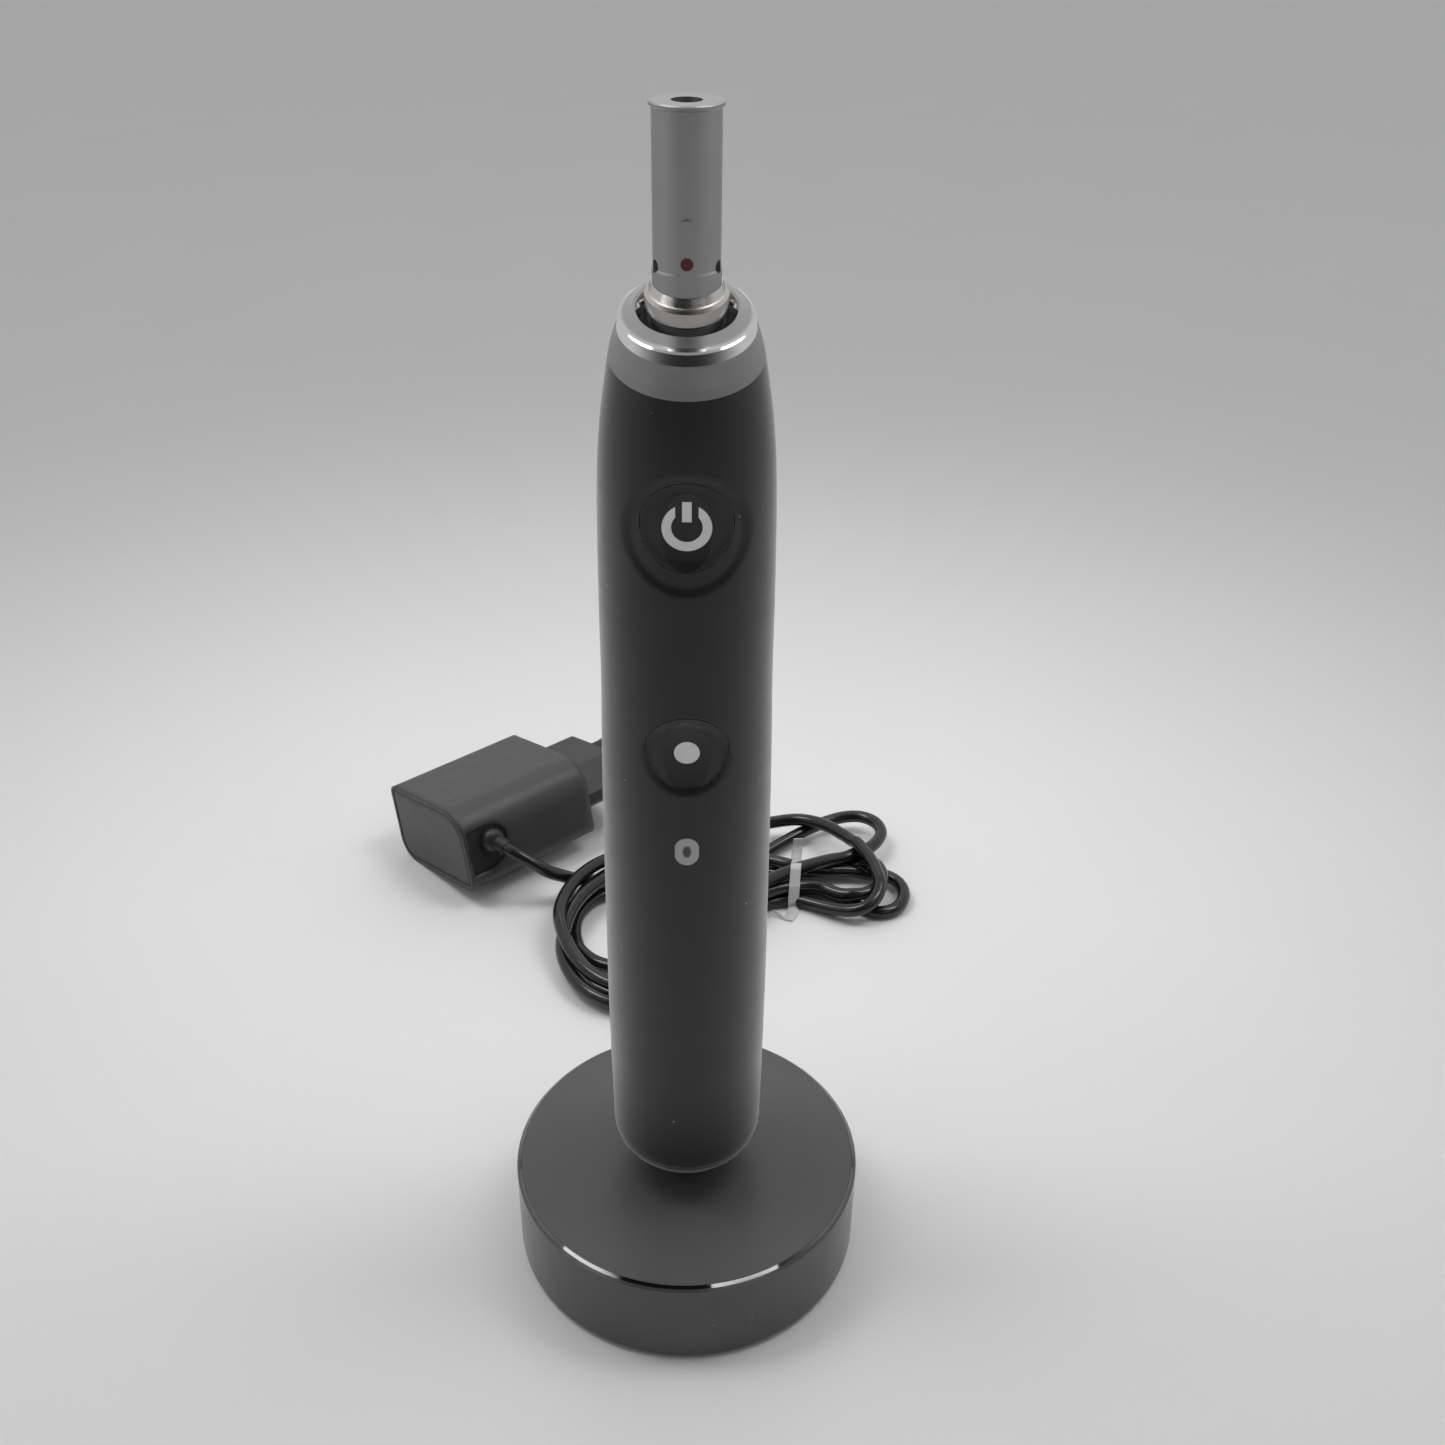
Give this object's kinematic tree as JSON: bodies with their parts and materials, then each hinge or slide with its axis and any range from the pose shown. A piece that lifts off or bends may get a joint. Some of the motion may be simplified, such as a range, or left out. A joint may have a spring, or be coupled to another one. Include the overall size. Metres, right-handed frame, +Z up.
{
  "type": "electric toothbrush on charger",
  "caption": "Rechargeable toothbrush handle with a bare drive shaft, standing on a round inductive charger with its tied lead and flat mains plug.",
  "frame": {"origin": "centre of the round charger's footprint, on the surface that it stands on", "axes": "+Z up along the handle's axis, the buttons face -Y, and the lead leaves the charger along +Y"},
  "size_m": [0.1387, 0.2057, 0.218],
  "materials": {
    "charger_gloss": "polished black moulded plastic",
    "charger_matte": "fine matte texture",
    "base_plastic": "plain moulded",
    "foot_rubber": "soft rubber",
    "steel": "plain steel",
    "copper": "enamelled copper wire",
    "ferrite": "sintered ferrite",
    "magnet": "nickel-plated magnet",
    "board_green": "solder mask",
    "component": "electronic parts",
    "cord_vinyl": "smooth black vinyl",
    "boot_rubber": "moulded strain relief",
    "tie_clear": "clear plastic strip",
    "plug_plastic": "satin moulded plastic",
    "plug_dark": "satin moulded plastic",
    "pin_brass": "nickel-plated brass",
    "pin_sleeve": "insulating sleeve",
    "soft_black": "soft-touch matte black",
    "cap_black": "matte black",
    "seal_rubber": "soft seal rubber",
    "chassis_white": "plain moulded",
    "battery_wrap": "shrink wrap",
    "nickel_tab": "nickel strip",
    "led_white": "clear resin",
    "silicone_grey": "silicone",
    "button_black": "soft-touch matte black",
    "mark_white": "pale inlay",
    "lens_pale": "frosted clear",
    "ring_satin": "frosted satin grey",
    "collar_chrome": "polished",
    "case_metal": "drawn steel",
    "bronze": "sintered bronze",
    "shaft_grey": "satin grey",
    "nickel_ring": "warm nickel",
    "dot_red": "dark red",
    "tip_brown": "brown bearing plastic"
  },
  "bodies": {
    "charger": {"charger_ring": "charger_gloss", "charger_top": "charger_matte", "charger_base": "base_plastic", "charger_feet": "foot_rubber", "charger_screws": "steel", "primary_coil": "copper", "coil_core": "ferrite", "dock_magnet": "magnet", "charger_board": "board_green", "charger_parts": "component", "cord_boot": "boot_rubber", "cord_charger_lead": "cord_vinyl", "cord_hank": "cord_vinyl", "cord_plug_lead": "cord_vinyl", "twist_tie": "tie_clear", "plug_body": "plug_plastic", "plug_nose": "plug_dark", "plug_cover": "plug_plastic", "plug_cord_entry": "boot_rubber", "plug_pins": "pin_brass", "pin_sleeves": "pin_sleeve", "plug_board": "board_green", "plug_transformer": "component", "plug_capacitors": "component"},
    "handle": {"handle_shell": "soft_black", "bottom_cap": "cap_black", "foot_seal": "seal_rubber", "keeper_plate": "steel", "receive_coil": "copper", "chassis": "chassis_white", "battery": "battery_wrap", "battery_tabs": "nickel_tab", "circuit_board": "board_green", "tact_switches": "component", "status_led": "led_white", "button_pad": "silicone_grey", "indicator_lens": "lens_pale", "light_ring": "ring_satin", "ring_leds": "led_white", "neck_collar": "collar_chrome", "neck_seal": "seal_rubber", "pivot_pin": "steel", "pressure_spring": "steel"},
    "drive_unit": {"motor_case": "case_metal", "stator_coil": "copper", "stator_rings": "steel", "rod_bushes": "bronze", "shaft_tube": "shaft_grey", "locating_ring": "nickel_ring", "align_dot": "dot_red", "return_springs": "steel"},
    "drive_rod": {"drive_rod": "steel", "rod_tip": "tip_brown", "rod_magnets": "magnet"},
    "power_button": {"power_button": "button_black", "power_icon": "mark_white"},
    "mode_button": {"mode_button": "button_black", "mode_dot": "mark_white"}
  },
  "joints": [
    {"name": "handle_lift", "type": "slide", "parent": "charger", "child": "handle", "axis": [0, 0, 1], "range_m": [0, 0.03]},
    {"name": "pressure_tilt", "type": "hinge", "parent": "handle", "child": "drive_unit", "pos_m": [0, 0, 0.1282], "axis": [1, 0, 0], "range_deg": [-0.5, 0.5], "stiffness_Nm_per_rad": 15, "deforming": ["neck_seal", "pressure_spring"]},
    {"name": "rod_slide", "type": "slide", "parent": "drive_unit", "child": "drive_rod", "axis": [0, 0, 1], "range_m": [-0.0008, 0.0008], "stiffness_N_per_m": 2000, "deforming": ["return_springs"]},
    {"name": "power_press", "type": "slide", "parent": "handle", "child": "power_button", "axis": [0, 1, 0], "range_m": [0, 0.0004], "stiffness_N_per_m": 1500},
    {"name": "mode_press", "type": "slide", "parent": "handle", "child": "mode_button", "axis": [0, 1, 0], "range_m": [0, 0.0004], "stiffness_N_per_m": 1500}
  ]
}
